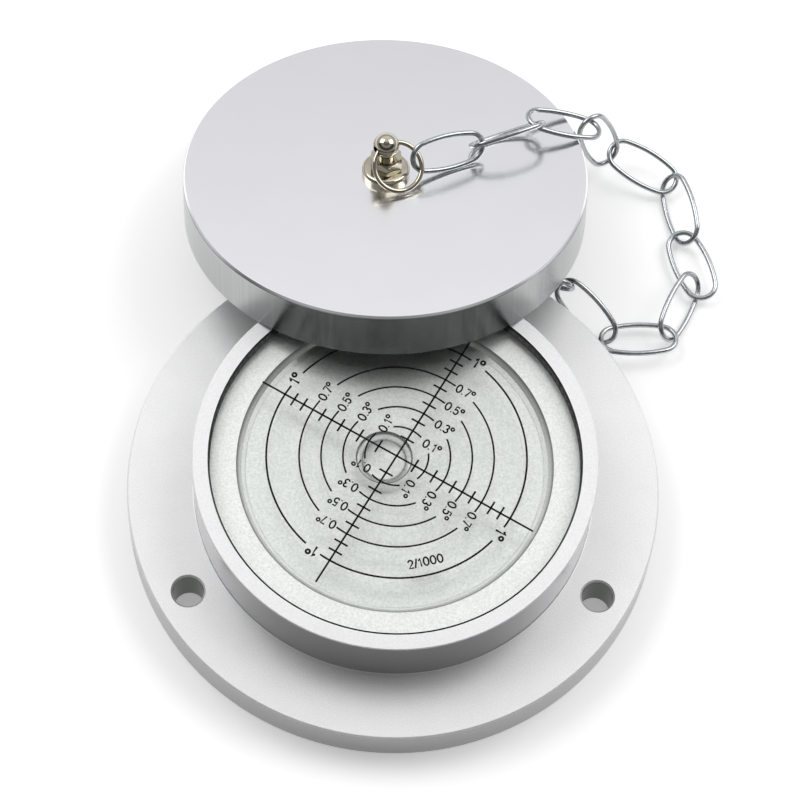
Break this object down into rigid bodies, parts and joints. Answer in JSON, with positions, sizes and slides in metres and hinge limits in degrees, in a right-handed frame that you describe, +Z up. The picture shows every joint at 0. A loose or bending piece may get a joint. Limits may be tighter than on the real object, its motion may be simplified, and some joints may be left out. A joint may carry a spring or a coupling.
{
  "type": "circular bubble level",
  "caption": "Circular bubble level in a flanged round metal base, with a screwed-down flange and a loose round lid kept by a short link chain.",
  "frame": {"origin": "centre of the flange's underside, on the axis of the mounting holes' circle", "axes": "+Z up along the vial's axis, out of the dial; the lid leans off the base towards +Y, and the chain lies towards +X"},
  "size_m": [0.1326, 0.1749, 0.0408],
  "materials": {
    "satin_aluminium": "bead-blasted and clear anodised",
    "polished_aluminium": "polished and clear anodised",
    "nickel": "nickel plated, polished",
    "zinc_steel": "bright zinc plated",
    "clear_lens": "polished clear",
    "dark_rubber": "matt black",
    "pale_enamel": "smooth pale greenish white",
    "spirit": "clear liquid"
  },
  "bodies": {
    "root": {"base_housing": "satin_aluminium", "vial_cup": "pale_enamel", "dial_disc": "pale_enamel", "spirit_fill": "spirit", "vial_lens": "clear_lens", "lens_seal": "dark_rubber", "filler_plug": "nickel", "lid": "polished_aluminium", "knob_washer": "nickel", "knob_nut": "nickel", "ball_stud": "nickel", "inner_washer": "zinc_steel", "inner_nut": "zinc_steel", "split_ring": "nickel", "anchor_screw": "nickel", "anchor_washer": "nickel", "chain_link_01": "zinc_steel", "chain_link_02": "zinc_steel", "chain_link_03": "zinc_steel", "chain_link_04": "zinc_steel", "chain_link_05": "zinc_steel", "chain_link_06": "zinc_steel", "chain_link_07": "zinc_steel", "chain_link_08": "zinc_steel", "chain_link_09": "zinc_steel", "chain_link_10": "zinc_steel", "chain_link_11": "zinc_steel", "chain_link_12": "zinc_steel"}
  },
  "joints": []
}
